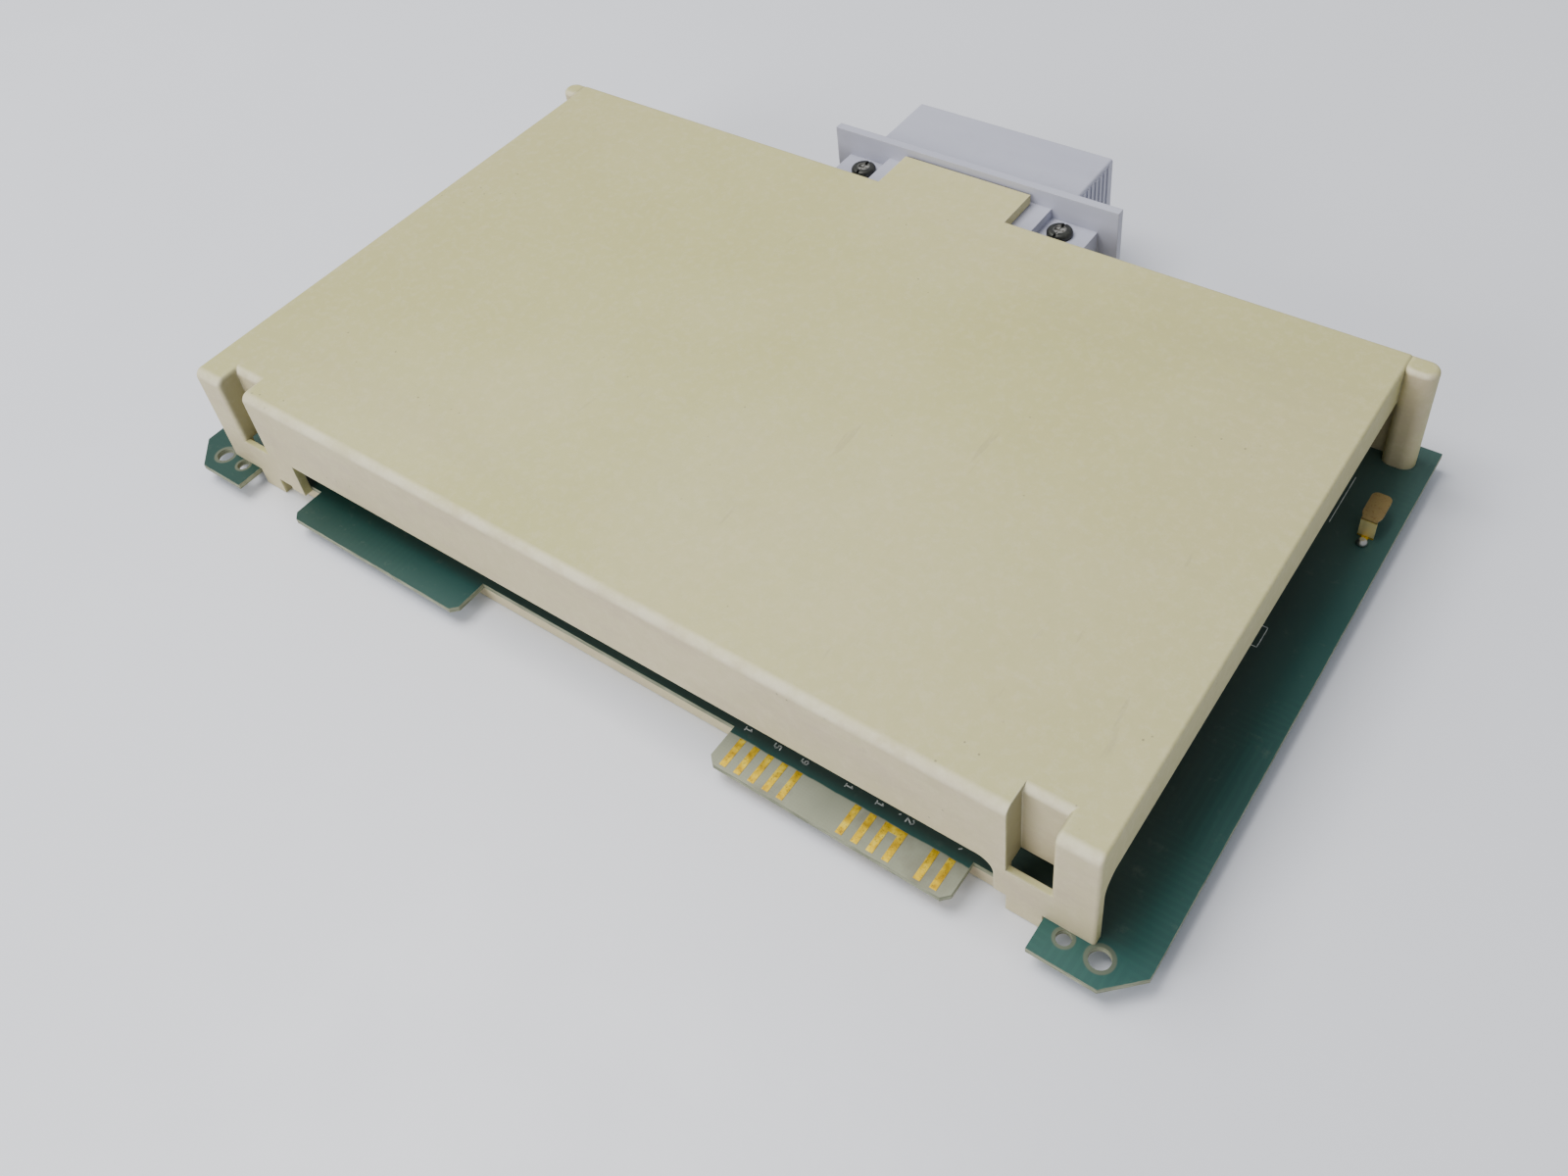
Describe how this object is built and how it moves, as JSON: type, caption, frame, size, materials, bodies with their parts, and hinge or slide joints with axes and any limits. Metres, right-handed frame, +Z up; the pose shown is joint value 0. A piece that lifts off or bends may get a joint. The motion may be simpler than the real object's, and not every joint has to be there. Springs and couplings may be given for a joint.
{
  "type": "plug-in input/output module",
  "caption": "Flat plug-in control module: a circuit board with an edge-contact tongue, a deep cream cover open at both ends, a thin bottom cover and a right-angle field connector.",
  "frame": {"origin": "middle of the bottom of the whole module's box, on the plane it rests on", "axes": "+X along the board's long edge with the contact tongue to the right of the middle, +Y from the contact tongue to the field connector, +Z up out of the component side"},
  "size_m": [0.2964, 0.213, 0.0396],
  "materials": {
    "board_laminate": "glass-fibre laminate under a green solder mask, semi-gloss",
    "gold_plating": "thin gold plating, lightly scratched",
    "cover_plastic": "moulded cream thermoplastic, fine grain, slightly yellowed",
    "screw_steel": "zinc-plated steel",
    "connector_plastic": "pale grey moulded thermoplastic, satin",
    "black_screw": "black oxide steel, worn bright in the recess",
    "solder": "dull solder",
    "package_black": "moulded epoxy, matte",
    "package_white": "moulded epoxy, matte white",
    "tinned_leads": "tinned metal",
    "socket_plastic": "moulded plastic",
    "network_coating": "dipped epoxy coating",
    "resistor_body": "lacquered body",
    "ceramic_coating": "dipped epoxy coating",
    "capacitor_sleeve": "printed shrink sleeve",
    "converter_case": "black painted case",
    "core_steel": "laminated core, lacquered",
    "coil_tape": "polyester tape",
    "sink_aluminium": "black anodised",
    "fuse_glass": "clear glass tube with metal caps",
    "shunt_plastic": "moulded plastic"
  },
  "bodies": {
    "module": {"circuit_board": "board_laminate", "edge_contacts_top": "gold_plating", "edge_contacts_bottom": "gold_plating", "bottom_cover": "cover_plastic", "cover_screws": "screw_steel", "connector_housing": "connector_plastic", "connector_pins": "gold_plating", "connector_screws": "black_screw", "connector_nuts": "screw_steel", "ground_spring_foot": "gold_plating", "ground_spring_solder": "solder", "logic_circuits": "package_black", "logic_circuit_leads": "tinned_leads", "optocouplers": "package_white", "optocoupler_leads": "tinned_leads", "controller_socket": "socket_plastic", "controller_chip": "package_black", "crystal": "tinned_leads", "resistor_networks": "network_coating", "axial_resistors": "resistor_body", "ceramic_capacitors": "ceramic_coating", "electrolytic_capacitors": "capacitor_sleeve", "rectifier_diodes": "package_black", "power_converter": "converter_case", "transformer_core": "core_steel", "transformer_coil": "coil_tape", "transformer_base": "socket_plastic", "heat_sink": "sink_aluminium", "voltage_regulator": "package_black", "regulator_screw": "screw_steel", "fuse_clips": "tinned_leads", "fuse": "fuse_glass", "jumper_header": "socket_plastic", "jumper_shunts": "shunt_plastic"},
    "top_cover": {"top_cover": "cover_plastic"},
    "spring_leaf": {"ground_spring_leaf": "gold_plating"}
  },
  "joints": [
    {"name": "cover_lift", "type": "slide", "parent": "module", "child": "top_cover", "axis": [0, 0, 1], "range_m": [0, 0.06]},
    {"name": "spring_press", "type": "hinge", "parent": "module", "child": "spring_leaf", "pos_m": [0.1419, 0.0308, 0.0113], "axis": [1, 0, 0], "range_deg": [-15, 0], "stiffness_Nm_per_rad": 0.02}
  ]
}
